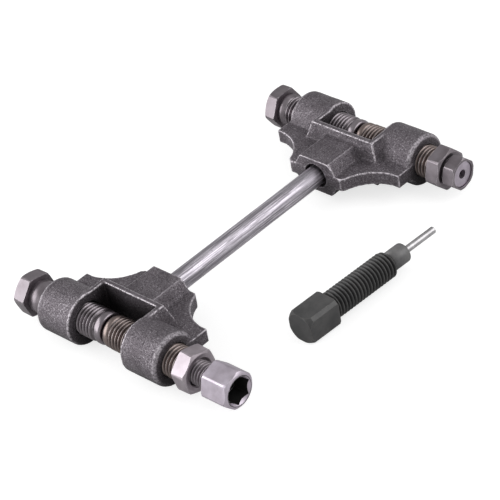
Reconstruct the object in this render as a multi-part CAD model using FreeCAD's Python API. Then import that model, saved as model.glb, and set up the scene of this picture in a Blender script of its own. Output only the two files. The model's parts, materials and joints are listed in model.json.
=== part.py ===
import FreeCAD, Part
import math
import os

# Two-headed chain tool, millimetres. X runs along the bolts, Y along the rod, Z up.
# It is drawn with the front head's bolt line through 0, 0, 0 and moved to the floor at the end.

head_spacing = 174.0
boss_radius = 13.0
boss_outer_x = 38.1
yoke_half_gap = 16.9
yoke_inner_y = 12.9
yoke_top_outer_y = 15.4
yoke_top_outer_x = 19.2
yoke_foot_outer_y = 18.0
yoke_foot_outer_x = 22.5
yoke_half_height = 12.3
block_front_y = 36.6
block_half_height = 9.0
block_top_half_width = 9.8
block_foot_half_width = 12.8
plate_half_thickness = 3.4
plate_end_x = 38.6
scallop_radius = 20.9
scallop_center_x = 37.5
scallop_center_y = 41.5

rod_radius = 5.0
rod_bore_bottom_y = 18.0
rod_mouth_radius = 6.3
rod_mouth_depth = 3.0

big_thread_radius = 8.0
thread_play = 0.05
anvil_tip_x = -2.1
anvil_collar_radius = 7.9
anvil_collar_length = 4.2
anvil_pin_hole_radius = 2.6
anvil_pin_hole_depth = 14.0
sleeve_tip_x = -0.8
sleeve_chamfer = 1.1
push_thread_radius = 5.95
push_bore_radius = 6.0
push_bore_bottom_x = 12.0
guide_hole_radius = 1.8
push_pin_radius = 1.75
pin_seat_radius = 1.8
bolt_hex_corner_radius = 10.97
push_hex_corner_radius = 9.81
guide_hex_corner_radius = 8.66
push_tip_x = 22.0

spare_thread_radius = 6.8
spare_half_square = 7.0
spare_head_length = 18.2
spare_thread_length = 39.2
spare_nose_radius = 4.9
spare_nose_length = 10.2
spare_pin_radius = 1.75
spare_pin_length = 20.4
spare_pin_socket = 8.0
spare_x = 65.5
spare_y = 51.1
spare_turn = 86.75

os.makedirs("parts", exist_ok=True)

along_x = FreeCAD.Vector(1, 0, 0)
along_y = FreeCAD.Vector(0, 1, 0)
along_z = FreeCAD.Vector(0, 0, 1)
no_move = FreeCAD.Vector(0, 0, 0)


def bar_x(radius, start_x, end_x):
    return Part.makeCylinder(radius, end_x - start_x, FreeCAD.Vector(start_x, 0, 0), along_x)


def cone_x(start_radius, end_radius, start_x, end_x):
    return Part.makeCone(start_radius, end_radius, end_x - start_x, FreeCAD.Vector(start_x, 0, 0), along_x)


def block(low_x, high_x, low_y, high_y, low_z, high_z):
    corner = FreeCAD.Vector(low_x, low_y, low_z)
    return Part.makeBox(high_x - low_x, high_y - low_y, high_z - low_z, corner)


def face_of(points):
    closed = points + [points[0]]
    return Part.Face(Part.makePolygon(closed))


def chamfered_bar(radius, start_x, end_x, start_chamfer, end_chamfer):
    # a round bar with a cone at each end, drawn as one turned outline
    outline = [FreeCAD.Vector(start_x, 0, 0)]
    outline.append(FreeCAD.Vector(start_x, radius - start_chamfer, 0))
    if start_chamfer > 0:
        outline.append(FreeCAD.Vector(start_x + start_chamfer, radius, 0))
    if end_chamfer > 0:
        outline.append(FreeCAD.Vector(end_x - end_chamfer, radius, 0))
    outline.append(FreeCAD.Vector(end_x, radius - end_chamfer, 0))
    outline.append(FreeCAD.Vector(end_x, 0, 0))
    return face_of(outline).revolve(no_move, along_x, 360)


def hex_bar(corner_radius, corner_angle, start_x, end_x):
    corners = []
    for step in range(6):
        angle = math.radians(corner_angle + 60 * step)
        corners.append(FreeCAD.Vector(start_x, corner_radius * math.cos(angle), corner_radius * math.sin(angle)))
    return face_of(corners).extrude(FreeCAD.Vector(end_x - start_x, 0, 0))


def turned_hex(corner_radius, corner_angle, start_x, end_x, start_cone, end_cone):
    # the corners are turned down a little, steeper towards the ends, as on a machined nut
    rim = corner_radius - 0.15
    outline = [FreeCAD.Vector(start_x, 0, 0)]
    outline.append(FreeCAD.Vector(start_x, rim - start_cone, 0))
    if start_cone > 0:
        outline.append(FreeCAD.Vector(start_x + start_cone * 0.6, rim, 0))
    if end_cone > 0:
        outline.append(FreeCAD.Vector(end_x - end_cone * 0.6, rim, 0))
    outline.append(FreeCAD.Vector(end_x, rim - end_cone, 0))
    outline.append(FreeCAD.Vector(end_x, 0, 0))
    envelope = face_of(outline).revolve(no_move, along_x, 360)
    return hex_bar(corner_radius, corner_angle, start_x, end_x).common(envelope)


def boss(side):
    # drawn on the +X side, rounded at the outer rim, then turned to the other side
    body = bar_x(boss_radius, yoke_half_gap, boss_outer_x)
    rim = []
    for edge in body.Edges:
        if abs(edge.BoundBox.XMin - boss_outer_x) < 0.01 and abs(edge.BoundBox.XMax - boss_outer_x) < 0.01:
            rim.append(edge)
    body = body.makeFillet(1.8, rim)
    if side < 0:
        body.rotate(no_move, along_z, 180)
    return body


def rod_block():
    # a rectangular block whose flanks slope down on to the plate, with small bevels along the top
    bevel = 1.0
    top = block_half_height
    wide = block_top_half_width
    foot = block_foot_half_width
    half = [(wide - bevel, top), (wide, top - bevel), (foot, plate_half_thickness)]
    outline = []
    for point_x, point_z in half:
        outline.append(FreeCAD.Vector(point_x, yoke_inner_y, point_z))
    for point_x, point_z in reversed(half):
        outline.append(FreeCAD.Vector(point_x, yoke_inner_y, -point_z))
    for point_x, point_z in half:
        outline.append(FreeCAD.Vector(-point_x, yoke_inner_y, -point_z))
    for point_x, point_z in reversed(half):
        outline.append(FreeCAD.Vector(-point_x, yoke_inner_y, point_z))
    return face_of(outline).extrude(FreeCAD.Vector(0, block_front_y - yoke_inner_y, 0))


def scallop_point(x):
    drop = math.sqrt(scallop_radius ** 2 - (x - scallop_center_x) ** 2)
    return FreeCAD.Vector(x, scallop_center_y - drop, -plate_half_thickness)


def wing_half():
    # one side of the flat plate: straight end beside the boss, hollow curve, small tip at the block
    low = -plate_half_thickness
    end_y = scallop_point(plate_end_x).y
    tip_x = 17.5
    tip_y = scallop_point(tip_x).y
    start = FreeCAD.Vector(plate_end_x, end_y, low)
    finish = FreeCAD.Vector(tip_x, tip_y, low)
    edges = [Part.Arc(start, scallop_point(24.3), finish).toShape()]
    rest = [finish, FreeCAD.Vector(15.8, 36.9, low), FreeCAD.Vector(0, 36.9, low), FreeCAD.Vector(0, 0, low)]
    rest.append(FreeCAD.Vector(plate_end_x, 0, low))
    rest.append(start)
    for first, second in zip(rest[:-1], rest[1:]):
        edges.append(Part.makeLine(first, second))
    return Part.Face(Part.Wire(edges)).extrude(FreeCAD.Vector(0, 0, 2 * plate_half_thickness))


def level_rectangle(half_x, far_y, z):
    corners = [FreeCAD.Vector(-half_x, 0, z), FreeCAD.Vector(half_x, 0, z)]
    corners.append(FreeCAD.Vector(half_x, far_y, z))
    corners.append(FreeCAD.Vector(-half_x, far_y, z))
    corners.append(corners[0])
    return Part.makePolygon(corners)


def yoke_walls():
    # the outsides of the back wall and the arms lean in from the plate to the rim
    foot = level_rectangle(yoke_foot_outer_x, yoke_foot_outer_y, plate_half_thickness - 0.5)
    top = level_rectangle(yoke_top_outer_x, yoke_top_outer_y, yoke_half_height)
    return Part.makeLoft([foot, top], True, True)


def head_casting():
    right_wing = wing_half()
    left_wing = right_wing.mirror(no_move, along_x)
    upper_walls = yoke_walls()
    lower_walls = upper_walls.mirror(no_move, along_z)
    casting = right_wing.fuse([left_wing, upper_walls, lower_walls, rod_block(), boss(1), boss(-1)])
    casting = casting.cut(block(-yoke_half_gap, yoke_half_gap, -30, yoke_inner_y, -30, 30))
    casting = casting.cut(bar_x(big_thread_radius + thread_play, -60, 60))
    bore = Part.makeCylinder(rod_radius, 40, FreeCAD.Vector(0, rod_bore_bottom_y, 0), along_y)
    mouth_start = FreeCAD.Vector(0, block_front_y - rod_mouth_depth, 0)
    mouth = Part.makeCylinder(rod_mouth_radius, 10, mouth_start, along_y)
    casting = casting.cut(bore).cut(mouth)
    return casting.removeSplitter()


def rear_casting():
    casting = head_casting()
    casting.rotate(no_move, along_z, 180)
    casting.translate(FreeCAD.Vector(0, head_spacing, 0))
    return casting


def handle_rod():
    length = head_spacing - 2 * rod_bore_bottom_y
    return Part.makeCylinder(rod_radius, length, FreeCAD.Vector(0, rod_bore_bottom_y, 0), along_y)


def anvil_bolt(hex_outer_x, hex_inner_x, corner_angle):
    # solid bolt from the left: head, thread, and a smooth collar with a hole for the pushed-out pin
    head = turned_hex(bolt_hex_corner_radius, corner_angle, hex_outer_x, hex_inner_x, 1.3, 0.5)
    washer_face = bar_x(8.6, hex_inner_x - 0.2, hex_inner_x + 0.6)
    collar_start_x = anvil_tip_x - anvil_collar_length
    shank = chamfered_bar(big_thread_radius, hex_inner_x, collar_start_x, 0, 0.7)
    collar = chamfered_bar(anvil_collar_radius, collar_start_x - 1, anvil_tip_x, 0, 0.6)
    bolt = head.fuse([washer_face, shank, collar])
    hole = bar_x(anvil_pin_hole_radius, anvil_tip_x - anvil_pin_hole_depth, anvil_tip_x + 1)
    return bolt.cut(hole).removeSplitter()


def sleeve_bolt(hex_inner_x, hex_outer_x, corner_angle):
    # hollow bolt from the right: the push screw runs inside it, its pin through the small end hole
    head = turned_hex(bolt_hex_corner_radius, corner_angle, hex_inner_x, hex_outer_x, 0.6, 1.2)
    shank = chamfered_bar(big_thread_radius, sleeve_tip_x, hex_inner_x + 1, sleeve_chamfer, 0)
    bolt = head.fuse(shank)
    bolt = bolt.cut(bar_x(push_bore_radius, push_bore_bottom_x, hex_outer_x + 1))
    bolt = bolt.cut(bar_x(guide_hole_radius, sleeve_tip_x - 1, push_bore_bottom_x + 1))
    bolt = bolt.cut(cone_x(push_bore_radius, push_bore_radius + 1.4, hex_outer_x - 1.2, hex_outer_x + 0.2))
    return bolt.removeSplitter()


def front_push_screw():
    # long hexagon head with a deep hexagon socket in its rounded end
    inner_x = 62.2
    outer_x = 77.0
    angle = 15
    head = turned_hex(push_hex_corner_radius, angle, inner_x, outer_x, 0.3, 1.6)
    shank = chamfered_bar(push_thread_radius, push_tip_x, inner_x + 1, 0.8, 0)
    screw = head.fuse(shank)
    screw = screw.cut(hex_bar(6.93, angle, outer_x - 9, outer_x + 1))
    screw = screw.cut(cone_x(6.0, 7.4, outer_x - 1.2, outer_x + 0.2))
    pin_seat = bar_x(pin_seat_radius, push_tip_x - 1, push_tip_x + 8.3)
    return screw.cut(pin_seat).removeSplitter()


def rear_push_screw():
    # short hexagon head with a shallow round recess for the guide disc
    inner_x = 54.6
    outer_x = 61.0
    head = turned_hex(guide_hex_corner_radius, 16, inner_x, outer_x, 0.4, 0.7)
    shank = chamfered_bar(push_thread_radius, push_tip_x, inner_x + 1, 0.8, 0)
    screw = head.fuse(shank)
    screw = screw.cut(bar_x(6.6, outer_x - 3.2, outer_x + 1))
    pin_seat = bar_x(pin_seat_radius, push_tip_x - 1, push_tip_x + 8.3)
    return screw.cut(pin_seat).removeSplitter()


def push_pin():
    # a plain hardened pin: its tail sits in the push screw, its tip in the sleeve's guide hole
    return chamfered_bar(push_pin_radius, 1.0, push_tip_x + 8, 0.3, 0.2)


def guide_disc():
    disc = chamfered_bar(6.6, 57.8, 60.3, 0, 0.35)
    return disc.cut(bar_x(2.3, 57.0, 62.0))


def spare_punch_screw():
    # square head with its corners taken off, thread, and a plain nose that holds the pin
    half = spare_half_square
    head = block(0, spare_head_length, -half, half, -half, half)
    envelope = chamfered_bar(8.9, 0, spare_head_length, 2.4, 0.5)
    head = head.common(envelope)
    thread_end_x = spare_head_length + spare_thread_length
    nose_end_x = thread_end_x + spare_nose_length
    thread = chamfered_bar(spare_thread_radius, spare_head_length - 1, thread_end_x, 0, 1.2)
    nose = chamfered_bar(spare_nose_radius, thread_end_x - 2, nose_end_x, 0, 0.6)
    screw = head.fuse([thread, nose])
    return screw.cut(bar_x(spare_pin_radius, nose_end_x - spare_pin_socket, nose_end_x + 1)).removeSplitter()


def spare_punch_pin():
    nose_end_x = spare_head_length + spare_thread_length + spare_nose_length
    return chamfered_bar(spare_pin_radius, nose_end_x - spare_pin_socket, nose_end_x + spare_pin_length, 0, 0.35)


def lay_down(shape):
    # the spare punch lies beside the tool, nearly in line with the rod, on the same floor
    shape.rotate(no_move, along_z, spare_turn)
    shape.translate(FreeCAD.Vector(spare_x, spare_y, spare_half_square - boss_radius))
    return shape


def at_rear(shape):
    shape.translate(FreeCAD.Vector(0, head_spacing, 0))
    return shape


nodes = {}
nodes["front_head_casting"] = head_casting()
nodes["rear_head_casting"] = rear_casting()
nodes["handle_rod"] = handle_rod()
nodes["front_anvil_bolt"] = anvil_bolt(-56.5, -49.3, 49)
nodes["rear_anvil_bolt"] = at_rear(anvil_bolt(-57.6, -51.0, 3))
nodes["front_sleeve_bolt"] = sleeve_bolt(46.0, 53.8, 43)
nodes["rear_sleeve_bolt"] = at_rear(sleeve_bolt(46.0, 53.4, 14))
nodes["front_push_screw"] = front_push_screw()
nodes["rear_push_screw"] = at_rear(rear_push_screw())
nodes["front_push_pin"] = push_pin()
nodes["rear_push_pin"] = at_rear(push_pin())
nodes["rear_guide_disc"] = at_rear(guide_disc())
nodes["spare_punch_screw"] = lay_down(spare_punch_screw())
nodes["spare_punch_pin"] = lay_down(spare_punch_pin())

# move everything so that the middle of the footprint is the origin and the floor is z = 0
whole = Part.makeCompound(list(nodes.values())).optimalBoundingBox()
shift = FreeCAD.Vector(-whole.Center.x, -whole.Center.y, boss_radius)
print("shift", round(shift.x, 4), round(shift.y, 4), round(shift.z, 4))
for name, shape in nodes.items():
    shape.translate(shift)
    print(name, "valid", shape.isValid(), "solids", len(shape.Solids), "volume", round(shape.Volume, 1))
    shape.exportStep("parts/" + name + ".step")
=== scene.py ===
import json
import math
import bmesh
import bpy
import numpy as np
from mathutils import Matrix, Vector, noise


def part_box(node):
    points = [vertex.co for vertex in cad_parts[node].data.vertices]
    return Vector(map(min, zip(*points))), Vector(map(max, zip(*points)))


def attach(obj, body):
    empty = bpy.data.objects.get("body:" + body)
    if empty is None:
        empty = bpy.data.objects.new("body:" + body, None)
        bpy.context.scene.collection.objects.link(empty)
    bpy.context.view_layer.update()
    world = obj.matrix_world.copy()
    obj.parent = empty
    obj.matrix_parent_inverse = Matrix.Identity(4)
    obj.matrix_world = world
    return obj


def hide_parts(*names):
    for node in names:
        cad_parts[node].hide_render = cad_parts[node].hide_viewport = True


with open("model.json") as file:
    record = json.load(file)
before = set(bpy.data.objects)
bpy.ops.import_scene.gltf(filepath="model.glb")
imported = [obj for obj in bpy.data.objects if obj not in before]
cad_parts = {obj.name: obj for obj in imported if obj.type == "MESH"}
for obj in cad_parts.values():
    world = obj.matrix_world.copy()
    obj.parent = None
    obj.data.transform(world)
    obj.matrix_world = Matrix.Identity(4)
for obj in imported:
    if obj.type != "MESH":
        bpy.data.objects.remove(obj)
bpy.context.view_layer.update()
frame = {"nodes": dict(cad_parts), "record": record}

mm = 0.001


def bodyOf(node):
    for body, names in frame["record"]["behaviour"]["bodies"].items():
        if node in names:
            return body


def meshObject(name, bm, smooth=True):
    mesh = bpy.data.meshes.new(name)
    bm.to_mesh(mesh)
    bm.free()
    made = bpy.data.objects.new(name, mesh)
    bpy.context.scene.collection.objects.link(made)
    for face in mesh.polygons:
        face.use_smooth = smooth
    return made


def applied(made):
    # the modifiers' result as a plain mesh on the same object
    graph = bpy.context.evaluated_depsgraph_get()
    result = bpy.data.meshes.new_from_object(made.evaluated_get(graph))
    made.modifiers.clear()
    made.data = result
    return made


def turned(profile, sides=96):
    # a closed solid turned about the X axis; profile is a list of (x, radius) in millimetres
    bm = bmesh.new()
    rings = []
    for x, radius in profile:
        if radius < 1e-6:
            rings.append([bm.verts.new((x * mm, 0, 0))])
            continue
        ring = []
        for side in range(sides):
            angle = 2 * math.pi * side / sides
            across, up = radius * mm * math.cos(angle), radius * mm * math.sin(angle)
            ring.append(bm.verts.new((x * mm, across, up)))
        rings.append(ring)
    for first, second in zip(rings, rings[1:]):
        for side in range(sides):
            after = (side + 1) % sides
            if len(first) == 1 and len(second) == 1:
                continue
            if len(first) == 1:
                bm.faces.new((first[0], second[after], second[side]))
            elif len(second) == 1:
                bm.faces.new((first[side], first[after], second[0]))
            else:
                bm.faces.new((first[side], first[after], second[after], second[side]))
    if len(rings[0]) > 1 and len(rings[-1]) > 1:
        for side in range(sides):
            after = (side + 1) % sides
            bm.faces.new((rings[-1][side], rings[-1][after], rings[0][after], rings[0][side]))
    bmesh.ops.recalc_face_normals(bm, faces=bm.faces)
    return meshObject("turned", bm)


def prism(sides, cornerRadius, angle, startX, endX, cornerCut=0.0):
    bm = bmesh.new()
    loops = []
    for x in (startX, endX):
        loop = []
        for side in range(sides):
            turn = math.radians(angle) + 2 * math.pi * side / sides
            across, up = cornerRadius * mm * math.cos(turn), cornerRadius * mm * math.sin(turn)
            loop.append(bm.verts.new((x * mm, across, up)))
        loops.append(loop)
    low, high = loops
    for side in range(sides):
        after = (side + 1) % sides
        bm.faces.new((low[side], low[after], high[after], high[side]))
    bm.faces.new(low)
    bm.faces.new(high)
    if cornerCut > 0:
        long = [edge for edge in bm.edges if abs(edge.verts[0].co.x - edge.verts[1].co.x) > 1e-6]
        bmesh.ops.bevel(bm, geom=long, offset=cornerCut * mm, segments=3, profile=0.5, affect="EDGES")
    bmesh.ops.recalc_face_normals(bm, faces=bm.faces)
    return meshObject("prism", bm)


def carve(body, tool, operation):
    step = body.modifiers.new("carve", "BOOLEAN")
    step.operation = operation
    step.object = tool
    step.solver = "EXACT"
    applied(body)
    bpy.data.objects.remove(tool)
    return body


def softEdges(body, width, look, segments=2, angle=25):
    # rounds the arrises; the new narrow faces take the brighter "Edge" version of the look, a painted highlight
    # along the edges
    merge = bmesh.new()
    merge.from_mesh(body.data)
    bmesh.ops.remove_doubles(merge, verts=merge.verts, dist=2e-6)
    bmesh.ops.dissolve_limit(merge, angle_limit=math.radians(1.0), verts=merge.verts, edges=merge.edges)
    for face in merge.faces:
        face.material_index = 0
    merge.to_mesh(body.data)
    merge.free()
    body.data.materials.clear()
    body.data.materials.append(looks[look])
    body.data.materials.append(looks[look + "Edge"])
    bevel = body.modifiers.new("bevel", "BEVEL")
    bevel.width = width * mm
    bevel.segments = segments
    bevel.limit_method = "ANGLE"
    bevel.angle_limit = math.radians(angle)
    bevel.harden_normals = True
    bevel.material = 1
    applied(body)
    for face in body.data.polygons:
        face.use_smooth = True
    return body


def feed(tree, value, socket):
    # another node's output is linked; a number or a colour is set on the socket itself
    if isinstance(value, bpy.types.NodeSocket):
        tree.links.new(value, socket)
    elif isinstance(value, tuple):
        socket.default_value = value + (1.0,)
    else:
        socket.default_value = value


def mathNode(tree, operation, first, second=None, clamp=False):
    node = tree.nodes.new("ShaderNodeMath")
    node.operation = operation
    node.use_clamp = clamp
    feed(tree, first, node.inputs[0])
    if second is not None:
        feed(tree, second, node.inputs[1])
    return node.outputs[0]


def distanceFromAxis(tree):
    split = tree.nodes.new("ShaderNodeSeparateXYZ")
    tree.links.new(tree.nodes.new("GeometryNodeInputPosition").outputs[0], split.inputs[0])
    across, up = (mathNode(tree, "POWER", split.outputs[index], 2) for index in (1, 2))
    return mathNode(tree, "SQRT", mathNode(tree, "ADD", across, up))


def buildThreadTree():
    # a grid is rolled into a tube whose radius follows the thread's profile; ends fade into a cone
    tree = bpy.data.node_groups.new("threadTube", "GeometryNodeTree")
    wanted = {"Length": 0.03, "Major Radius": 0.008, "Depth": 0.0012, "Pitch": 0.002,
              "Start Fade": 0.001, "End Fade": 0.001}
    for label, value in wanted.items():
        socket = tree.interface.new_socket(label, in_out="INPUT", socket_type="NodeSocketFloat")
        socket.default_value = value
    for label, value in {"Steps Along": 200, "Steps Around": 72}.items():
        socket = tree.interface.new_socket(label, in_out="INPUT", socket_type="NodeSocketInt")
        socket.default_value = value
    tree.interface.new_socket("Material", in_out="INPUT", socket_type="NodeSocketMaterial")
    tree.interface.new_socket("Geometry", in_out="OUTPUT", socket_type="NodeSocketGeometry")
    given = tree.nodes.new("NodeGroupInput").outputs
    grid = tree.nodes.new("GeometryNodeMeshGrid")
    grid.inputs["Size X"].default_value = 1
    grid.inputs["Size Y"].default_value = 1
    tree.links.new(given["Steps Along"], grid.inputs["Vertices X"])
    tree.links.new(given["Steps Around"], grid.inputs["Vertices Y"])
    place = tree.nodes.new("GeometryNodeInputPosition")
    split = tree.nodes.new("ShaderNodeSeparateXYZ")
    tree.links.new(place.outputs[0], split.inputs[0])
    along = mathNode(tree, "MULTIPLY", mathNode(tree, "ADD", split.outputs[0], 0.5), given["Length"])
    turn = mathNode(tree, "ADD", split.outputs[1], 0.5)
    phase = mathNode(tree, "FRACT", mathNode(tree, "ADD", mathNode(tree, "DIVIDE", along, given["Pitch"]), turn))
    tent = mathNode(tree, "ABSOLUTE", mathNode(tree, "SUBTRACT", mathNode(tree, "MULTIPLY", phase, 2), 1))
    groove = mathNode(tree, "DIVIDE", mathNode(tree, "SUBTRACT", tent, 0.16), 0.68, clamp=True)
    radius = mathNode(tree, "SUBTRACT", given["Major Radius"], mathNode(tree, "MULTIPLY", groove, given["Depth"]))
    core = mathNode(tree, "SUBTRACT", given["Major Radius"], given["Depth"])
    startCone = mathNode(tree, "ADD", core, mathNode(tree, "SUBTRACT", along, given["Start Fade"]))
    toEnd = mathNode(tree, "SUBTRACT", given["Length"], along)
    endCone = mathNode(tree, "ADD", core, mathNode(tree, "SUBTRACT", toEnd, given["End Fade"]))
    radius = mathNode(tree, "MINIMUM", radius, mathNode(tree, "MINIMUM", startCone, endCone))
    angle = mathNode(tree, "MULTIPLY", turn, 2 * math.pi)
    join = tree.nodes.new("ShaderNodeCombineXYZ")
    tree.links.new(along, join.inputs[0])
    tree.links.new(mathNode(tree, "MULTIPLY", radius, mathNode(tree, "COSINE", angle)), join.inputs[1])
    tree.links.new(mathNode(tree, "MULTIPLY", radius, mathNode(tree, "SINE", angle)), join.inputs[2])
    move = tree.nodes.new("GeometryNodeSetPosition")
    tree.links.new(grid.outputs["Mesh"], move.inputs["Geometry"])
    tree.links.new(join.outputs[0], move.inputs["Position"])
    weld = tree.nodes.new("GeometryNodeMergeByDistance")
    weld.inputs["Distance"].default_value = 1e-6
    tree.links.new(move.outputs[0], weld.inputs["Geometry"])
    # keeps how deep each point lies in the groove: used for the rust and for painted shade in the grooves
    keep = tree.nodes.new("GeometryNodeStoreNamedAttribute")
    keep.inputs["Name"].default_value = "groove"
    tree.links.new(weld.outputs[0], keep.inputs["Geometry"])
    depthHere = mathNode(tree, "SUBTRACT", given["Major Radius"], distanceFromAxis(tree))
    deep = mathNode(tree, "DIVIDE", mathNode(tree, "SUBTRACT", depthHere, 0.00025), 0.0009, clamp=True)
    tree.links.new(deep, keep.inputs["Value"])
    real = tree.nodes.new("GeometryNodeRealizeInstances")
    tree.links.new(keep.outputs[0], real.inputs[0])
    paint = tree.nodes.new("GeometryNodeSetMaterial")
    tree.links.new(real.outputs[0], paint.inputs["Geometry"])
    tree.links.new(given["Material"], paint.inputs["Material"])
    tree.links.new(paint.outputs[0], tree.nodes.new("NodeGroupOutput").inputs[0])
    return tree


threadTree = buildThreadTree()


def boreThrough(bm, radius):
    # turns the two open rims inwards and joins them by a round bore
    rims = [edge for edge in bm.edges if edge.is_boundary]
    made = bmesh.ops.extrude_edge_only(bm, edges=rims)["geom"]
    for vert in [item for item in made if isinstance(item, bmesh.types.BMVert)]:
        shrink = radius * mm / math.hypot(vert.co.y, vert.co.z)
        vert.co.y *= shrink
        vert.co.z *= shrink
    inner = [edge for edge in bm.edges if edge.is_boundary]
    bmesh.ops.bridge_loops(bm, edges=inner)


threadSteps = {"along": 12, "around": 72, "noFade": -5}


def threadedBar(startX, endX, shape, look, startFade=0.0, endFade=0.0, bore=0.0):
    # startFade and endFade: how far the crest is turned down at each end, in millimetres
    bar = meshObject("thread", bmesh.new())
    step = bar.modifiers.new("thread", "NODES")
    step.node_group = threadTree
    length = endX - startX
    values = {"Length": length * mm, "Major Radius": shape["radius"] * mm, "Depth": shape["depth"] * mm,
              "Pitch": shape["pitch"] * mm, "Start Fade": (startFade or threadSteps["noFade"]) * mm,
              "End Fade": (endFade or threadSteps["noFade"]) * mm,
              "Steps Along": int(length / shape["pitch"] * threadSteps["along"]) + 1,
              "Steps Around": threadSteps["around"] + 1, "Material": looks[look]}
    for item in threadTree.interface.items_tree:
        if item.name in values:
            step[item.identifier] = values[item.name]
    applied(bar)
    bm = bmesh.new()
    bm.from_mesh(bar.data)
    bmesh.ops.remove_doubles(bm, verts=bm.verts, dist=2e-6)
    if bore > 0:
        boreThrough(bm, bore)
    else:
        bmesh.ops.holes_fill(bm, edges=[edge for edge in bm.edges if edge.is_boundary], sides=0)
    bmesh.ops.recalc_face_normals(bm, faces=bm.faces)
    bmesh.ops.translate(bm, verts=bm.verts, vec=(startX * mm, 0, 0))
    bm.to_mesh(bar.data)
    bm.free()
    for face in bar.data.polygons:
        face.use_smooth = len(face.vertices) < 6
    return painted(bar, look)


def newGroup(name, inputs, outputs):
    tree = bpy.data.node_groups.new(name, "ShaderNodeTree")
    for label, value in inputs.items():
        socket = tree.interface.new_socket(label, in_out="INPUT", socket_type="NodeSocketFloat")
        socket.default_value = value
    for label, kind in outputs.items():
        tree.interface.new_socket(label, in_out="OUTPUT", socket_type="NodeSocket" + kind)
    return tree, tree.nodes.new("NodeGroupInput").outputs, tree.nodes.new("NodeGroupOutput").inputs


def rampNode(tree, source, low, high):
    node = tree.nodes.new("ShaderNodeMapRange")
    node.inputs["From Min"].default_value = low
    node.inputs["From Max"].default_value = high
    tree.links.new(source, node.inputs["Value"])
    return node.outputs[0]


def noiseNode(tree, vector, scale, detail=4.0, roughness=0.6):
    node = tree.nodes.new("ShaderNodeTexNoise")
    node.inputs["Detail"].default_value = detail
    node.inputs["Roughness"].default_value = roughness
    feed(tree, scale, node.inputs["Scale"])
    tree.links.new(vector, node.inputs["Vector"])
    return node.outputs["Fac"]


def stretched(tree, vector, x, y, z):
    node = tree.nodes.new("ShaderNodeMapping")
    node.inputs["Scale"].default_value = (x, y, z)
    tree.links.new(vector, node.inputs["Vector"])
    return node.outputs[0]


def objectVector(tree):
    return tree.nodes.new("ShaderNodeTexCoord").outputs["Object"]


def buildCastGrain():
    # sand-cast skin: faint broad tone, sand grain, scattered bright points and dark pits
    masks = {"Height": "Float", "Lumps": "Float", "Sparkle": "Float", "Pits": "Float"}
    tree, given, put = newGroup("castGrain", {"Scale": 1.0}, masks)
    here = objectVector(tree)
    coarse = noiseNode(tree, here, mathNode(tree, "MULTIPLY", given["Scale"], 140), 3, 0.55)
    grain = noiseNode(tree, here, mathNode(tree, "MULTIPLY", given["Scale"], 1300), 3, 0.65)
    fine = noiseNode(tree, here, mathNode(tree, "MULTIPLY", given["Scale"], 2050), 2, 0.6)
    finePart = mathNode(tree, "MULTIPLY", fine, 0.45)
    grainPart = mathNode(tree, "MULTIPLY", grain, 0.55)
    tree.links.new(mathNode(tree, "ADD", finePart, grainPart), put["Height"])
    tree.links.new(rampNode(tree, coarse, 0.30, 0.70), put["Lumps"])
    points = mathNode(tree, "MULTIPLY", rampNode(tree, fine, 0.52, 0.64), rampNode(tree, grain, 0.42, 0.56))
    tree.links.new(points, put["Sparkle"])
    tree.links.new(rampNode(tree, grain, 0.46, 0.34), put["Pits"])
    return tree


def buildPaintedShade():
    # how enclosed a place is, from ambient occlusion: the mask for painted shade in recesses and inside the yokes
    tree, given, put = newGroup("paintedShadeCavity", {"Reach": 0.02}, {"Mask": "Float"})
    around = tree.nodes.new("ShaderNodeAmbientOcclusion")
    around.samples = 6
    tree.links.new(given["Reach"], around.inputs["Distance"])
    tree.links.new(rampNode(tree, around.outputs["AO"], 0.72, 0.36), put["Mask"])
    return tree


def buildEdgeWear():
    # bright rubbed edges on machined pieces: where a rounded normal leaves the true one, broken up by noise
    tree, given, put = newGroup("edgeWear", {"Width": 0.0004, "Breakup": 900.0}, {"Mask": "Float"})
    rounded = tree.nodes.new("ShaderNodeBevel")
    rounded.samples = 4
    tree.links.new(given["Width"], rounded.inputs["Radius"])
    product = tree.nodes.new("ShaderNodeVectorMath")
    product.operation = "DOT_PRODUCT"
    tree.links.new(rounded.outputs[0], product.inputs[0])
    tree.links.new(tree.nodes.new("ShaderNodeNewGeometry").outputs["Normal"], product.inputs[1])
    away = rampNode(tree, product.outputs["Value"], 0.995, 0.93)
    broken = noiseNode(tree, objectVector(tree), given["Breakup"], 3, 0.6)
    mask = mathNode(tree, "MULTIPLY", away, rampNode(tree, broken, 0.32, 0.55))
    tree.links.new(mask, put["Mask"])
    return tree


def buildRust():
    # thin brown rust that gathers in the thread grooves
    tree, given, put = newGroup("rustFilm", {"Amount": 0.5, "Scale": 260.0, "Groove": 0.0},
                                {"Mask": "Float", "Tone": "Float"})
    here = objectVector(tree)
    patch = noiseNode(tree, here, given["Scale"], 4, 0.62)
    shifted = mathNode(tree, "ADD", patch, mathNode(tree, "MULTIPLY", given["Groove"], 0.10))
    limit = mathNode(tree, "SUBTRACT", 0.82, mathNode(tree, "MULTIPLY", given["Amount"], 0.34))
    mask = mathNode(tree, "DIVIDE", mathNode(tree, "SUBTRACT", shifted, limit), 0.14, clamp=True)
    tree.links.new(mask, put["Mask"])
    tree.links.new(noiseNode(tree, here, 1400, 2, 0.5), put["Tone"])
    return tree


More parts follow.
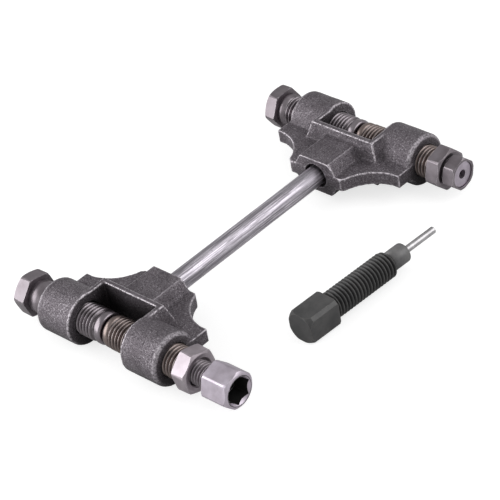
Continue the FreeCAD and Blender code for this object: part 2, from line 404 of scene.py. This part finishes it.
def buildToolMarks():
    # very fine turned or drawn lines: stretch the noise along one axis
    masks = {"Lines": "Float", "Smudge": "Float"}
    tree, given, put = newGroup("toolMarks", {"Across": 2400.0, "Along": 30.0}, masks)
    here = objectVector(tree)
    split = tree.nodes.new("ShaderNodeSeparateXYZ")
    tree.links.new(here, split.inputs[0])
    join = tree.nodes.new("ShaderNodeCombineXYZ")
    tree.links.new(mathNode(tree, "MULTIPLY", split.outputs[0], given["Across"]), join.inputs[0])
    tree.links.new(mathNode(tree, "MULTIPLY", split.outputs[1], given["Along"]), join.inputs[1])
    tree.links.new(mathNode(tree, "MULTIPLY", split.outputs[2], given["Along"]), join.inputs[2])
    tree.links.new(noiseNode(tree, join.outputs[0], 1.0, 3, 0.6), put["Lines"])
    tree.links.new(noiseNode(tree, here, 160, 4, 0.6), put["Smudge"])
    return tree


castGrain = buildCastGrain()
paintedShadeCavity = buildPaintedShade()
edgeWear = buildEdgeWear()
rustFilm = buildRust()
toolMarks = buildToolMarks()


def groupNode(tree, group, **values):
    node = tree.nodes.new("ShaderNodeGroup")
    node.node_tree = group
    for label, value in values.items():
        feed(tree, value, node.inputs[label])
    return node.outputs


def socketNamed(sockets, identifier):
    return next(socket for socket in sockets if socket.identifier == identifier)


def mixColor(tree, factor, first, second):
    node = tree.nodes.new("ShaderNodeMix")
    node.data_type = "RGBA"
    for identifier, value in (("Factor_Float", factor), ("A_Color", first), ("B_Color", second)):
        feed(tree, value, socketNamed(node.inputs, identifier))
    return socketNamed(node.outputs, "Result_Color")


def attribute(tree, name):
    node = tree.nodes.new("ShaderNodeAttribute")
    node.attribute_name = name
    return node.outputs["Fac"]


def newMaterial(name):
    material = bpy.data.materials.new(name)
    material.use_nodes = True
    tree = material.node_tree
    tree.nodes.clear()
    shader = tree.nodes.new("ShaderNodeBsdfPrincipled")
    tree.links.new(shader.outputs[0], tree.nodes.new("ShaderNodeOutputMaterial").inputs[0])
    return material, tree, shader


def bumpInto(tree, shader, height, strength, distance):
    node = tree.nodes.new("ShaderNodeBump")
    node.inputs["Strength"].default_value = strength
    node.inputs["Distance"].default_value = distance
    tree.links.new(height, node.inputs["Height"])
    tree.links.new(node.outputs[0], shader.inputs["Normal"])


# the near-black below serves both for the skin's dark pits and as painted shade in recesses; the worn colour marks
# rubbed edges and also serves as a painted highlight on the rims
castLook = {"dark": (0.112, 0.097, 0.110), "light": (0.158, 0.139, 0.156), "worn": (0.78, 0.73, 0.78),
            "paintedShadeAndPits": (0.020, 0.017, 0.019), "cavityReach": 0.022}


def castIron():
    material, tree, shader = newMaterial("castIron")
    grain = groupNode(tree, castGrain, Scale=1.0)
    # rubbed edges: bright metal from wear, pushed brighter so that it also serves as a painted highlight along the
    # rims
    edge = attribute(tree, "edge")
    broken = noiseNode(tree, objectVector(tree), 1100, 3, 0.6)
    worn = mathNode(tree, "MULTIPLY", edge, rampNode(tree, broken, 0.37, 0.57))
    # painted shade: recesses (ambient occlusion) and hollow corners are mixed towards near-black
    closed = groupNode(tree, paintedShadeCavity, Reach=castLook["cavityReach"])["Mask"]
    paintedShadeAndPits = mathNode(tree, "MAXIMUM", closed, mathNode(tree, "MULTIPLY", attribute(tree, "hollow"), 0.7))
    base = mixColor(tree, grain["Lumps"], castLook["dark"], castLook["light"])
    base = mixColor(tree, mathNode(tree, "MULTIPLY", grain["Pits"], 0.7), base, castLook["paintedShadeAndPits"])
    strength = mathNode(tree, "ADD", 0.20, mathNode(tree, "MULTIPLY", grain["Lumps"], 0.32))
    spark = mathNode(tree, "MULTIPLY", grain["Sparkle"], strength)
    bright = mathNode(tree, "MAXIMUM", spark, mathNode(tree, "MULTIPLY", worn, 0.88))
    base = mixColor(tree, bright, base, castLook["worn"])
    base = mixColor(tree, mathNode(tree, "MULTIPLY", paintedShadeAndPits, 0.94), base, castLook["paintedShadeAndPits"])
    tree.links.new(base, shader.inputs["Base Color"])
    rough = mathNode(tree, "SUBTRACT", 0.49, mathNode(tree, "MULTIPLY", bright, 0.16))
    tree.links.new(rough, shader.inputs["Roughness"])
    metal = mathNode(tree, "ADD", 0.72, mathNode(tree, "MULTIPLY", bright, 0.25))
    tree.links.new(metal, shader.inputs["Metallic"])
    bumpInto(tree, shader, grain["Height"], 1.0, 0.00055)
    return material


steelLook = {"clean": (0.272, 0.244, 0.265), "dull": (0.205, 0.181, 0.197), "edge": (0.72, 0.68, 0.71),
             "groove": (0.060, 0.052, 0.055)}
rustLook = {"dark": (0.085, 0.045, 0.026), "light": (0.24, 0.15, 0.095)}


def machinedSteel(name, rust, across=2400.0, along=30.0, bright=1.0, roughness=0.30, tint=(1.0, 1.0, 1.0)):
    material, tree, shader = newMaterial(name)
    marks = groupNode(tree, toolMarks, Across=across, Along=along)
    worn = groupNode(tree, edgeWear, Width=0.00035, Breakup=500.0)["Mask"]
    groove = attribute(tree, "groove")
    film = groupNode(tree, rustFilm, Amount=rust, Scale=300.0, Groove=groove)
    clean = tuple(part * bright * shade for part, shade in zip(steelLook["clean"], tint))
    dull = tuple(part * bright * shade for part, shade in zip(steelLook["dull"], tint))
    base = mixColor(tree, rampNode(tree, marks["Smudge"], 0.35, 0.68), dull, clean)
    base = mixColor(tree, mathNode(tree, "MULTIPLY", worn, 0.7), base, steelLook["edge"])
    tone = mixColor(tree, film["Tone"], rustLook["dark"], rustLook["light"])
    base = mixColor(tree, film["Mask"], base, tone)
    # painted shade: the thread grooves are mixed towards near-black
    base = mixColor(tree, mathNode(tree, "MULTIPLY", groove, 0.9), base, steelLook["groove"])
    tree.links.new(base, shader.inputs["Base Color"])
    rough = mathNode(tree, "ADD", roughness - 0.06, mathNode(tree, "MULTIPLY", marks["Smudge"], 0.16))
    rough = mathNode(tree, "ADD", rough, mathNode(tree, "MULTIPLY", film["Mask"], 0.35))
    tree.links.new(rough, shader.inputs["Roughness"])
    metal = mathNode(tree, "SUBTRACT", 1.0, mathNode(tree, "MULTIPLY", film["Mask"], 0.85))
    tree.links.new(metal, shader.inputs["Metallic"])
    bumpInto(tree, shader, marks["Lines"], 0.22, 0.00006)
    return material


rodLook = {"dark": (0.25, 0.232, 0.262), "light": (0.82, 0.775, 0.845), "streak": (0.17, 0.158, 0.180)}


def drawnRod():
    material, tree, shader = newMaterial("drawnRod")
    here = objectVector(tree)
    lines = noiseNode(tree, stretched(tree, here, 1.0, 0.016, 1.0), 1900, 3, 0.7)
    broad = noiseNode(tree, stretched(tree, here, 1.0, 0.022, 1.0), 700, 3, 0.6)
    pits = noiseNode(tree, stretched(tree, here, 1.0, 0.30, 1.0), 2200, 3, 0.7)
    base = mixColor(tree, rampNode(tree, lines, 0.36, 0.60), rodLook["dark"], rodLook["light"])
    streak = mathNode(tree, "MULTIPLY", rampNode(tree, broad, 0.50, 0.38), 0.55)
    base = mixColor(tree, streak, base, rodLook["streak"])
    pitted = mathNode(tree, "MULTIPLY", rampNode(tree, pits, 0.42, 0.32), 0.5)
    base = mixColor(tree, pitted, base, rodLook["streak"])
    hair = noiseNode(tree, stretched(tree, here, 1.0, 0.05, 1.0), 1150, 2, 0.5)
    hairLines = mathNode(tree, "MULTIPLY", rampNode(tree, hair, 0.47, 0.40), 0.75)
    base = mixColor(tree, hairLines, base, rodLook["dark"])
    tree.links.new(base, shader.inputs["Base Color"])
    shader.inputs["Metallic"].default_value = 1.0
    rough = mathNode(tree, "ADD", 0.30, mathNode(tree, "MULTIPLY", pits, 0.20))
    tree.links.new(rough, shader.inputs["Roughness"])
    bumpInto(tree, shader, lines, 0.40, 0.00007)
    return material


blackLook = {"dark": (0.052, 0.052, 0.053), "light": (0.092, 0.090, 0.090), "edge": (0.16, 0.15, 0.14),
             "groove": (0.008, 0.008, 0.008)}


def blackSteel(name, bright):
    material, tree, shader = newMaterial(name)
    here = objectVector(tree)
    patch = noiseNode(tree, here, 130, 4, 0.6)
    grit = noiseNode(tree, here, 2200, 3, 0.6)
    worn = groupNode(tree, edgeWear, Width=0.0004, Breakup=420.0)["Mask"]
    dark, light = (tuple(part * bright for part in blackLook[tone]) for tone in ("dark", "light"))
    base = mixColor(tree, rampNode(tree, patch, 0.3, 0.7), dark, light)
    base = mixColor(tree, mathNode(tree, "MULTIPLY", worn, 0.5), base, blackLook["edge"])
    # painted shade: the thread grooves are mixed towards near-black
    groove = mathNode(tree, "MULTIPLY", attribute(tree, "groove"), 0.9)
    base = mixColor(tree, groove, base, blackLook["groove"])
    tree.links.new(base, shader.inputs["Base Color"])
    shader.inputs["Metallic"].default_value = 0.40
    rough = mathNode(tree, "ADD", 0.36, mathNode(tree, "MULTIPLY", patch, 0.16))
    tree.links.new(rough, shader.inputs["Roughness"])
    bumpInto(tree, shader, grit, 0.25, 0.00006)
    return material


pinLook = {"dark": (0.40, 0.39, 0.40), "light": (0.56, 0.55, 0.56)}


def groundPin():
    material, tree, shader = newMaterial("groundPin")
    here = objectVector(tree)
    rings = noiseNode(tree, here, 2600, 3, 0.6)
    film = noiseNode(tree, here, 240, 3, 0.6)
    base = mixColor(tree, rampNode(tree, film, 0.3, 0.7), pinLook["dark"], pinLook["light"])
    tree.links.new(base, shader.inputs["Base Color"])
    shader.inputs["Metallic"].default_value = 1.0
    rough = mathNode(tree, "ADD", 0.24, mathNode(tree, "MULTIPLY", film, 0.14))
    tree.links.new(rough, shader.inputs["Roughness"])
    bumpInto(tree, shader, rings, 0.12, 0.00004)
    return material


looks = {
    "cast": castIron(),
    "rod": drawnRod(),
    "steel": machinedSteel("machinedSteel", 0.10, bright=1.04, roughness=0.40),
    # the Edge looks are brighter copies of their looks: painted highlights for the rounded edges
    "steelEdge": machinedSteel("machinedSteelEdgeHighlight", 0.05, bright=2.9, roughness=0.55),
    "thread": machinedSteel("anvilThread", 0.16, bright=1.12, roughness=0.27),
    "clean": machinedSteel("cleanSteel", 0.12, bright=1.85, roughness=0.44),
    "cleanEdge": machinedSteel("cleanSteelEdgeHighlight", 0.05, bright=3.0, roughness=0.50),
    "rusty": machinedSteel("rustyThread", 0.46, tint=(1.10, 1.0, 0.86), bright=0.95),
    "bright": machinedSteel("brightHead", 0.02, bright=2.3, roughness=0.42, tint=(1.0, 1.01, 1.06)),
    "brightEdge": machinedSteel("brightHeadEdgeHighlight", 0.0, bright=2.9, roughness=0.30, tint=(1.0, 1.01, 1.06)),
    "black": blackSteel("blackOxide", 1.0),
    "blackEdge": blackSteel("blackOxideEdgeHighlight", 2.4),
    "grey": blackSteel("greyOxide", 2.2),
    # near-black for the inside of the hex socket: painted shade
    "socket": blackSteel("socketPaintedShade", 0.3),
    "pin": groundPin(),
}
print("materials ready")


def finished(piece, body, nodes):
    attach(piece, body)
    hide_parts(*nodes)
    return piece


def painted(part, look):
    part.data.materials.clear()
    part.data.materials.append(looks[look])
    for face in part.data.polygons:
        face.material_index = 0
    return part


def assembled(name, parts, place):
    # parts keep their own materials; place is the matrix from the bolt's own line to the model
    materials = []
    bm = bmesh.new()
    for part in parts:
        own = list(part.data.materials)
        materials += [material for material in own if material not in materials]
        before = len(bm.faces)
        bm.from_mesh(part.data)
        bm.faces.ensure_lookup_table()
        for face in bm.faces[before:]:
            face.material_index = materials.index(own[face.material_index])
        bpy.data.objects.remove(part)
    bm.transform(place)
    smooth = [face.smooth for face in bm.faces]
    made = meshObject(name, bm)
    for face, value in zip(made.data.polygons, smooth):
        face.use_smooth = value
    for material in materials:
        made.data.materials.append(material)
    return made


def paintedShadeInside(part, look, radius, startX):
    # painted shade: beyond startX, the walls nearer the axis than radius, and the bottom's middle, as in a socket,
    # take a near-black look
    part.data.materials.append(looks[look])
    for face in part.data.polygons:
        away = math.hypot(face.center.y, face.center.z)
        isWall = away < radius * mm and abs(face.normal.x) < 0.3
        if face.center.x > startX * mm and (isWall or away < 1.0 * mm):
            face.material_index = len(part.data.materials) - 1
    return part


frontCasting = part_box("front_head_casting")
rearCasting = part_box("rear_head_casting")
boltLineX = (frontCasting[0][0] + frontCasting[1][0]) / 2
boltLineZ = (frontCasting[0][2] + frontCasting[1][2]) / 2
bossRadius = 13.0
frontY = frontCasting[0][1] + bossRadius * mm
rearY = rearCasting[1][1] - bossRadius * mm
frontPlace = Matrix.Translation((boltLineX, frontY, boltLineZ))
rearPlace = Matrix.Translation((boltLineX, rearY, boltLineZ))


castShape = {"voxel": 0.40, "roundSteps": 2, "hollowSteps": 11, "lumps": 0.06, "grain": 0.05,
             "lumpScale": 260, "grainScale": 900, "trueBore": 8.7}
castBends = {"edge": (0.022, 0.056), "hollow": (0.02, 0.08)}


def neighbourMean(values, starts, ends):
    # the mean of each point's neighbours along the edges, for one value or several a point
    count = len(values)
    degree = np.bincount(starts, minlength=count) + np.bincount(ends, minlength=count)
    if values.ndim == 1:
        return (np.bincount(starts, values[ends], count) + np.bincount(ends, values[starts], count)) / degree
    return np.stack([neighbourMean(column, starts, ends) for column in values.T], axis=1)


def relaxed(points, starts, ends, normals, steps, hollowSteps):
    # smooths every point a little, and hollow corners more, so that joins between walls get a fillet
    for step in range(hollowSteps):
        pull = neighbourMean(points, starts, ends) - points
        if step < steps:
            points += 0.5 * pull
        else:
            hollow = np.einsum("ij,ij->i", pull, normals) > 0
            points += 0.5 * pull * hollow[:, None]
    return points


def storeBends(mesh, points, starts, ends, normals):
    # how far each point stands out of, or lies below, its neighbours: kept for the rubbed edges with their painted
    # highlight, and for painted shade in the hollow corners
    middle = neighbourMean(points, starts, ends)
    bend = np.einsum("ij,ij->i", middle - points, normals) / (castShape["voxel"] * mm)
    for step in range(3):
        bend = 0.5 * bend + 0.5 * neighbourMean(bend, starts, ends)
    for label, values in (("edge", -bend), ("hollow", bend)):
        low, high = castBends[label]
        layer = mesh.attributes.new(label, "FLOAT", "POINT")
        layer.data.foreach_set("value", np.clip((values - low) / (high - low), 0, 1))


def readArray(items, label, width, kind):
    values = np.empty(len(items) * width, dtype=kind)
    items.foreach_get(label, values)
    return values.reshape(-1, width)


def castingPiece(name, node, seed):
    bm = bmesh.new()
    bm.from_mesh(frame["nodes"][node].data)
    bmesh.ops.remove_doubles(bm, verts=bm.verts, dist=1e-6)
    piece = meshObject(name, bm)
    remesh = piece.modifiers.new("remesh", "REMESH")
    remesh.mode = "VOXEL"
    remesh.voxel_size = castShape["voxel"] * mm
    applied(piece)
    mesh = piece.data
    points = readArray(mesh.vertices, "co", 3, float)
    normals = readArray(mesh.vertices, "normal", 3, float)
    starts, ends = readArray(mesh.edges, "vertices", 2, np.int64).T
    points = relaxed(points, starts, ends, normals, castShape["roundSteps"], castShape["hollowSteps"])
    storeBends(mesh, points, starts, ends, normals)
    offset = Vector((seed * 0.37, seed * 0.11, seed * 0.23))
    push = np.empty(len(points))
    for index, point in enumerate(points):
        here = Vector(point) + offset
        lump = castShape["lumps"] * noise.noise(here * castShape["lumpScale"])
        push[index] = lump + castShape["grain"] * noise.noise(here * castShape["grainScale"])
    # machined bores stay true
    across = points[:, 1] - (frontY if node.startswith("front") else rearY)
    push[np.hypot(across, points[:, 2] - boltLineZ) < castShape["trueBore"] * mm] = 0
    points += normals * (push * mm)[:, None]
    mesh.vertices.foreach_set("co", points.ravel())
    mesh.update()
    for face in mesh.polygons:
        face.use_smooth = True
    print(name, len(mesh.polygons), "faces")
    return finished(painted(piece, "cast"), bodyOf(node), [node])


castingPiece("frontHeadCasting", "front_head_casting", 1.0)
castingPiece("rearHeadCasting", "rear_head_casting", 2.0)


painted(frame["nodes"]["handle_rod"], "rod")
print("castings and rod ready")


bigThread = {"radius": 7.96, "depth": 1.15, "pitch": 2.0}
pushThread = {"radius": 5.93, "depth": 0.95, "pitch": 1.75}
bigHexagon = {"corner": 10.97, "cornerCut": 0.5, "edge": 0.42}
anvilBolts = {
    "front": {"outerX": -56.5, "innerX": -49.3, "turn": 49, "collar": 6.5},
    "rear": {"outerX": -57.6, "innerX": -51.0, "turn": 3, "collar": 3.6},
}
anvilShape = {"threadEndX": -6.3, "fade": 0.5, "pinHole": 2.6}
anvilNose = [(-7.3, 2.6), (-7.3, 6.7), (-6.3, 7.5), (-5.2, 7.85), (-3.4, 7.9), (-2.6, 7.65), (-2.2, 7.2),
             (-2.1, 6.7), (-2.1, 2.9), (-2.4, 2.6)]


def anvilBolt(name, node, size, place, look):
    outerX, innerX = size["outerX"], size["innerX"]
    threadX = innerX + size["collar"]
    head = prism(6, bigHexagon["corner"], size["turn"], outerX, innerX, bigHexagon["cornerCut"])
    cone = [(outerX, 0), (outerX, 9.1), (outerX + 0.9, 10.6), (innerX - 0.35, 10.8), (innerX, 10.1), (innerX, 0)]
    head = softEdges(carve(head, turned(cone, 128), "INTERSECT"), bigHexagon["edge"], look)
    collar = turned([(innerX - 0.2, 0), (innerX - 0.2, 7.2), (innerX + 0.7, 7.2), (innerX + 1.1, 7.9),
                     (threadX - 0.9, 7.9), (threadX - 0.1, 6.95), (threadX + 0.6, 6.9), (threadX + 0.6, 0)])
    thread = threadedBar(threadX, anvilShape["threadEndX"], bigThread, "thread", anvilShape["fade"],
                         anvilShape["fade"], anvilShape["pinHole"])
    parts = [head, painted(collar, look), thread, painted(turned(anvilNose), "thread")]
    piece = assembled(name, parts, place)
    return finished(piece, bodyOf(node), [node])


sleeveBolts = {
    "front": {"innerX": 46.0, "outerX": 53.8, "turn": 43},
    "rear": {"innerX": 46.0, "outerX": 53.4, "turn": 14},
}
sleeveShape = {"bore": 6.0, "mouth": 7.5, "threadStartX": 1.9, "fade": 0.7, "threadBore": 6.05}
sleeveNose = [(12.0, 1.88), (12.0, 6.4), (2.9, 6.4), (2.7, 7.2), (2.1, 7.75), (0.6, 7.75), (-0.3, 7.35),
              (-0.8, 6.8), (-0.8, 2.1), (-0.6, 1.88)]


def sleeveBolt(name, node, size, place, look):
    innerX, outerX = size["innerX"], size["outerX"]
    bore, mouth = sleeveShape["bore"], sleeveShape["mouth"]
    head = prism(6, bigHexagon["corner"], size["turn"], innerX, outerX, bigHexagon["cornerCut"])
    cone = [(innerX, 0), (innerX, 10.2), (innerX + 0.4, 10.8), (outerX - 0.9, 10.6), (outerX, 9.0), (outerX, 0)]
    head = carve(head, turned(cone, 128), "INTERSECT")
    hole = [(innerX - 6, 0), (innerX - 6, bore), (outerX - 1.2, bore), (outerX + 0.3, mouth), (outerX + 1, mouth),
            (outerX + 1, 0)]
    head = softEdges(carve(head, turned(hole, 96), "DIFFERENCE"), bigHexagon["edge"], look)
    thread = threadedBar(sleeveShape["threadStartX"], innerX + 0.8, bigThread, "rusty", sleeveShape["fade"],
                         bore=sleeveShape["threadBore"])
    parts = [head, thread, painted(turned(sleeveNose), "rusty")]
    piece = assembled(name, parts, place)
    return finished(piece, bodyOf(node), [node])


anvilBolt("frontAnvilBolt", "front_anvil_bolt", anvilBolts["front"], frontPlace, "steel")
anvilBolt("rearAnvilBolt", "rear_anvil_bolt", anvilBolts["rear"], rearPlace, "steel")
sleeveBolt("frontSleeveBolt", "front_sleeve_bolt", sleeveBolts["front"], frontPlace, "clean")
sleeveBolt("rearSleeveBolt", "rear_sleeve_bolt", sleeveBolts["rear"], rearPlace, "steel")


pushShank = {"startX": 22.0, "fade": 0.6, "bore": 1.85}
frontPush = {"innerX": 62.2, "outerX": 77.0, "corner": 9.81, "cornerCut": 0.7, "turn": 15, "edge": 0.40,
             "socketCorner": 6.93, "socketDepth": 9}
rearPush = {"innerX": 54.6, "outerX": 61.0, "corner": 8.66, "cornerCut": 0.5, "turn": 16, "edge": 0.28,
            "recess": 6.6, "recessDepth": 3.2, "hole": 2.3}


def pushShankBar(innerX):
    return threadedBar(pushShank["startX"], innerX + 0.4, pushThread, "steel", pushShank["fade"],
                       bore=pushShank["bore"])


def frontPushScrew():
    innerX, outerX = frontPush["innerX"], frontPush["outerX"]
    head = prism(6, frontPush["corner"], frontPush["turn"], innerX, outerX, frontPush["cornerCut"])
    cone = [(innerX, 0), (innerX, 9.2), (innerX + 0.5, 9.65), (outerX - 2.4, 9.65), (outerX - 1.1, 9.1),
            (outerX - 0.3, 8.2), (outerX, 7.4), (outerX, 0)]
    head = carve(head, turned(cone, 128), "INTERSECT")
    socket = prism(6, frontPush["socketCorner"], frontPush["turn"], outerX - frontPush["socketDepth"], outerX + 1)
    head = carve(head, socket, "DIFFERENCE")
    mouth = [(outerX - 1.2, 0), (outerX - 1.2, 6.0), (outerX + 0.2, 7.2), (outerX + 0.2, 0)]
    head = softEdges(carve(head, turned(mouth, 96), "DIFFERENCE"), frontPush["edge"], "bright", 3)
    # painted shade inside the socket
    head = paintedShadeInside(head, "socket", frontPush["socketCorner"] + 0.05, innerX + 2)
    piece = assembled("frontPushScrew", [head, pushShankBar(innerX)], frontPlace)
    return finished(piece, bodyOf("front_push_screw"), ["front_push_screw"])


def rearPushScrew():
    innerX, outerX = rearPush["innerX"], rearPush["outerX"]
    head = prism(6, rearPush["corner"], rearPush["turn"], innerX, outerX, rearPush["cornerCut"])
    cone = [(innerX, 0), (innerX, 8.0), (innerX + 0.4, 8.5), (outerX - 0.8, 8.5), (outerX, 7.8), (outerX, 0)]
    head = carve(head, turned(cone, 128), "INTERSECT")
    bottom, wide = outerX - rearPush["recessDepth"], rearPush["recess"]
    head = carve(head, turned([(bottom, 0), (bottom, wide), (outerX + 1, wide), (outerX + 1, 0)], 96), "DIFFERENCE")
    narrow = rearPush["hole"]
    hole = [(innerX - 1, 0), (innerX - 1, narrow), (outerX - 2, narrow), (outerX - 2, 0)]
    head = softEdges(carve(head, turned(hole, 48), "DIFFERENCE"), rearPush["edge"], "steel")
    piece = assembled("rearPushScrew", [head, pushShankBar(innerX)], rearPlace)
    return finished(piece, bodyOf("rear_push_screw"), ["rear_push_screw"])


frontPushScrew()
rearPushScrew()
painted(frame["nodes"]["rear_guide_disc"], "bright")
for name in ("front_push_pin", "rear_push_pin", "spare_punch_pin"):
    painted(frame["nodes"][name], "pin")
print("bolts ready")


sparePunch = {"x": 65.5, "y": 51.1, "z": -6.0, "turn": 86.75, "half": 7.0, "cornerCut": 1.2, "edge": 0.40,
              "headLength": 18.2, "threadLength": 39.2, "noseLength": 10.2}
spareThread = {"radius": 6.72, "depth": 1.2, "pitch": 2.0}


def sparePunchPiece():
    headLength = sparePunch["headLength"]
    threadEnd = headLength + sparePunch["threadLength"]
    noseEnd = threadEnd + sparePunch["noseLength"]
    head = prism(4, sparePunch["half"] * math.sqrt(2), 45, 0, headLength, sparePunch["cornerCut"])
    cone = [(0, 0), (0, 7.3), (0.4, 7.75), (1.3, 8.35), (2.4, 8.9), (headLength - 0.6, 8.95), (headLength, 8.3),
            (headLength, 0)]
    head = softEdges(carve(head, turned(cone, 128), "INTERSECT"), sparePunch["edge"], "black", 3)
    thread = threadedBar(headLength - 0.4, threadEnd, spareThread, "black", endFade=0.35)
    nose = turned([(threadEnd - 1.6, 0), (threadEnd - 1.6, 4.9), (noseEnd - 0.7, 4.9), (noseEnd - 0.2, 4.7),
                   (noseEnd, 4.2), (noseEnd, 1.76), (noseEnd - 0.5, 1.76), (noseEnd - 0.5, 0)])
    spot = Matrix.Translation([sparePunch[axis] * mm for axis in "xyz"])
    turn = Matrix.Rotation(math.radians(sparePunch["turn"]), 4, "Z")
    piece = assembled("sparePunchScrew", [head, thread, painted(nose, "grey")], frontPlace @ spot @ turn)
    return finished(piece, bodyOf("spare_punch_screw"), ["spare_punch_screw"])


sparePunchPiece()
print("spare punch ready")


floorLook = {"glow": 0.72, "paper": 0.45, "bounce": 0.66}


def buildFloor():
    # seen directly the floor is nearly white with a faint shadow; what it sends back to the metal is less
    bm = bmesh.new()
    bmesh.ops.create_grid(bm, x_segments=1, y_segments=1, size=4.0)
    floor = meshObject("floor", bm, False)
    material = bpy.data.materials.new("paleFloor")
    material.use_nodes = True
    tree = material.node_tree
    tree.nodes.clear()
    seen = tree.nodes.new("ShaderNodeEmission")
    seen.inputs["Color"].default_value = (1, 1, 1, 1)
    seen.inputs["Strength"].default_value = floorLook["glow"]
    paper = tree.nodes.new("ShaderNodeBsdfDiffuse")
    paper.inputs["Color"].default_value = (floorLook["paper"],) * 3 + (1,)
    bounce = tree.nodes.new("ShaderNodeBsdfDiffuse")
    bounce.inputs["Color"].default_value = (floorLook["bounce"],) * 3 + (1,)
    both = tree.nodes.new("ShaderNodeAddShader")
    tree.links.new(seen.outputs[0], both.inputs[0])
    tree.links.new(paper.outputs[0], both.inputs[1])
    choose = tree.nodes.new("ShaderNodeMixShader")
    tree.links.new(tree.nodes.new("ShaderNodeLightPath").outputs["Is Camera Ray"], choose.inputs[0])
    tree.links.new(bounce.outputs[0], choose.inputs[1])
    tree.links.new(both.outputs[0], choose.inputs[2])
    tree.links.new(choose.outputs[0], tree.nodes.new("ShaderNodeOutputMaterial").inputs[0])
    floor.data.materials.append(material)


def areaLight(name, location, target, size, power):
    data = bpy.data.lights.new(name, "AREA")
    data.shape = "RECTANGLE"
    data.size = size[0]
    data.size_y = size[1]
    data.energy = power
    lamp = bpy.data.objects.new(name, data)
    lamp.location = location
    lamp.rotation_euler = (Vector(target) - Vector(location)).to_track_quat("-Z", "Y").to_euler()
    bpy.context.scene.collection.objects.link(lamp)


lights = {
    "key": {"place": (-0.84, -0.88, 0.40), "size": (2.0, 1.4), "power": 22.5},
    "back": {"place": (0.78, 0.58, 0.76), "size": (1.2, 1.0), "power": 6.5},
    "world": 0.52,
}


def buildLight():
    for name in ("key", "back"):
        values = lights[name]
        areaLight(name + "Light", values["place"], (0, 0, 0), values["size"], values["power"])
    world = bpy.data.worlds.new("studio")
    world.use_nodes = True
    world.node_tree.nodes["Background"].inputs[0].default_value = (1, 1, 1, 1)
    world.node_tree.nodes["Background"].inputs[1].default_value = lights["world"]
    bpy.context.scene.world = world
    bpy.context.scene.view_settings.view_transform = "Standard"


cameraView = {"yaw": -49.02, "pitch": 36.17, "roll": -10.83, "lens": 171.17, "place": (680.2, -503.2, 646.6)}


def buildCamera():
    yaw = math.radians(cameraView["yaw"])
    pitch = math.radians(cameraView["pitch"])
    roll = math.radians(cameraView["roll"])
    ahead = Vector((math.sin(yaw) * math.cos(pitch), math.cos(yaw) * math.cos(pitch), -math.sin(pitch)))
    levelRight = Vector((math.cos(yaw), -math.sin(yaw), 0))
    levelUp = levelRight.cross(ahead)
    right = math.cos(roll) * levelRight + math.sin(roll) * levelUp
    up = -math.sin(roll) * levelRight + math.cos(roll) * levelUp
    turn = Matrix((right, up, -ahead)).transposed().to_4x4()
    data = bpy.data.cameras.new("camera")
    data.lens = cameraView["lens"]
    data.sensor_width = 36
    data.clip_start = 0.05
    data.clip_end = 20
    camera = bpy.data.objects.new("camera", data)
    x, y, z = cameraView["place"]
    camera.matrix_world = frontPlace @ Matrix.Translation((x * mm, y * mm, z * mm)) @ turn
    bpy.context.scene.collection.objects.link(camera)
    bpy.context.scene.camera = camera


buildFloor()
buildLight()
buildCamera()
print("stage ready")
